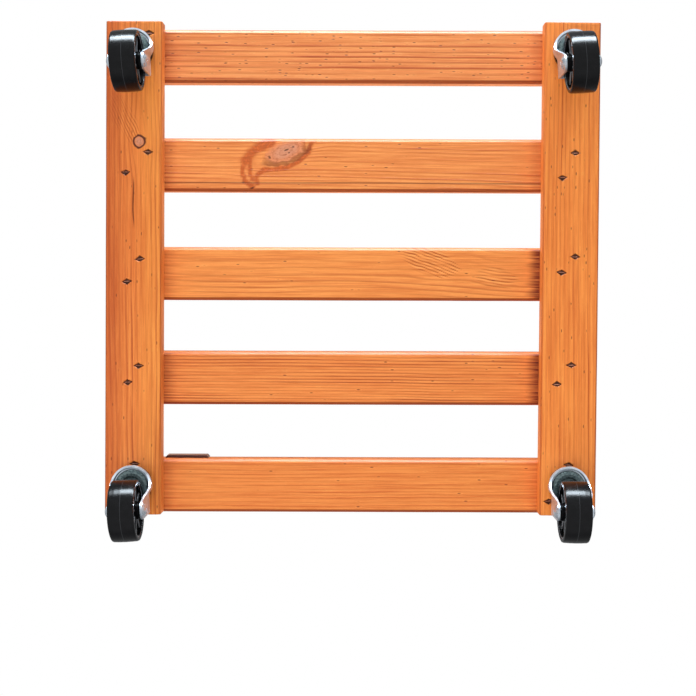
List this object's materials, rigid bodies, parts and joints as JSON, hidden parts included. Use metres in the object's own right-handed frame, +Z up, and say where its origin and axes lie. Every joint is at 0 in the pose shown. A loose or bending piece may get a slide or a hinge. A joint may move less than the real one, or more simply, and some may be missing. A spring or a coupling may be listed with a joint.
{
  "type": "wheeled slatted rack",
  "caption": "Low square wooden slat rack on two cross rails, carried on stem-fixed swivel casters, for rolling firewood or plant pots.",
  "frame": {"origin": "on the floor, below the centre of the whole object's bounding box", "axes": "+Z up, X along the slats, +Y along the rails away from the end that the casters trail towards"},
  "size_m": [0.454, 0.468, 0.1075],
  "materials": {
    "left_rail_wood": "stained softwood",
    "right_rail_wood": "stained softwood",
    "slat_wood": "stained softwood",
    "staple_wire": "dull, lacquered",
    "label_metal": "satin",
    "black_plastic": "satin",
    "wheel_plastic": "semi-gloss",
    "zinc_plate": "bright zinc plated",
    "rivet_zinc": "bright zinc plated",
    "race_steel": "dull zinc plated",
    "ball_steel": "polished",
    "insert_steel": "zinc plated"
  },
  "bodies": {
    "deck": {"left_rail": "left_rail_wood", "right_rail": "right_rail_wood", "slat_1": "slat_wood", "slat_2": "slat_wood", "slat_3": "slat_wood", "slat_4": "slat_wood", "slat_5": "slat_wood", "left_rail_staples": "staple_wire", "right_rail_staples": "staple_wire", "label_plate": "label_metal", "front_left_threaded_insert": "insert_steel", "front_left_flange_washer": "black_plastic", "front_left_lock_nut": "zinc_plate", "front_left_stem": "zinc_plate", "front_left_thrust_collar": "zinc_plate", "front_left_ball_ring": "ball_steel", "front_left_lower_race": "race_steel", "front_right_threaded_insert": "insert_steel", "front_right_flange_washer": "black_plastic", "front_right_lock_nut": "zinc_plate", "front_right_stem": "zinc_plate", "front_right_thrust_collar": "zinc_plate", "front_right_ball_ring": "ball_steel", "front_right_lower_race": "race_steel", "rear_left_threaded_insert": "insert_steel", "rear_left_flange_washer": "black_plastic", "rear_left_lock_nut": "zinc_plate", "rear_left_stem": "zinc_plate", "rear_left_thrust_collar": "zinc_plate", "rear_left_ball_ring": "ball_steel", "rear_left_lower_race": "race_steel", "rear_right_threaded_insert": "insert_steel", "rear_right_flange_washer": "black_plastic", "rear_right_lock_nut": "zinc_plate", "rear_right_stem": "zinc_plate", "rear_right_thrust_collar": "zinc_plate", "rear_right_ball_ring": "ball_steel", "rear_right_lower_race": "race_steel"},
    "front_left_fork_body": {"front_left_fork": "zinc_plate", "front_left_axle_rivet": "rivet_zinc", "front_left_axle_bush": "race_steel"},
    "front_left_wheel_body": {"front_left_wheel": "wheel_plastic"},
    "front_right_fork_body": {"front_right_fork": "zinc_plate", "front_right_axle_rivet": "rivet_zinc", "front_right_axle_bush": "race_steel"},
    "front_right_wheel_body": {"front_right_wheel": "wheel_plastic"},
    "rear_left_fork_body": {"rear_left_fork": "zinc_plate", "rear_left_axle_rivet": "rivet_zinc", "rear_left_axle_bush": "race_steel"},
    "rear_left_wheel_body": {"rear_left_wheel": "wheel_plastic"},
    "rear_right_fork_body": {"rear_right_fork": "zinc_plate", "rear_right_axle_rivet": "rivet_zinc", "rear_right_axle_bush": "race_steel"},
    "rear_right_wheel_body": {"rear_right_wheel": "wheel_plastic"}
  },
  "joints": [
    {"name": "front_left_swivel", "type": "hinge", "parent": "deck", "child": "front_left_fork_body", "pos_m": [-0.1958, -0.19001, 0.0725], "axis": [0, 0, 1], "continuous": true},
    {"name": "front_left_roll", "type": "hinge", "parent": "front_left_fork_body", "child": "front_left_wheel_body", "pos_m": [-0.19551, -0.20681, 0.027], "axis": [0.9998, 0.0175, 0], "continuous": true},
    {"name": "front_right_swivel", "type": "hinge", "parent": "deck", "child": "front_right_fork_body", "pos_m": [0.19948, -0.19004, 0.0725], "axis": [0, 0, 1], "continuous": true},
    {"name": "front_right_roll", "type": "hinge", "parent": "front_right_fork_body", "child": "front_right_wheel_body", "pos_m": [0.1986, -0.20681, 0.027], "axis": [0.9986, -0.0523, 0], "continuous": true},
    {"name": "rear_left_swivel", "type": "hinge", "parent": "deck", "child": "rear_left_fork_body", "pos_m": [-0.19925, 0.20507, 0.0725], "axis": [0, 0, 1], "continuous": true},
    {"name": "rear_left_roll", "type": "hinge", "parent": "rear_left_fork_body", "child": "rear_left_wheel_body", "pos_m": [-0.20027, 0.1883, 0.027], "axis": [0.9981, -0.061, 0], "continuous": true},
    {"name": "rear_right_swivel", "type": "hinge", "parent": "deck", "child": "rear_right_fork_body", "pos_m": [0.19948, 0.20506, 0.0725], "axis": [0, 0, 1], "continuous": true},
    {"name": "rear_right_roll", "type": "hinge", "parent": "rear_right_fork_body", "child": "rear_right_wheel_body", "pos_m": [0.19874, 0.18828, 0.027], "axis": [0.999, -0.0436, 0], "continuous": true}
  ]
}
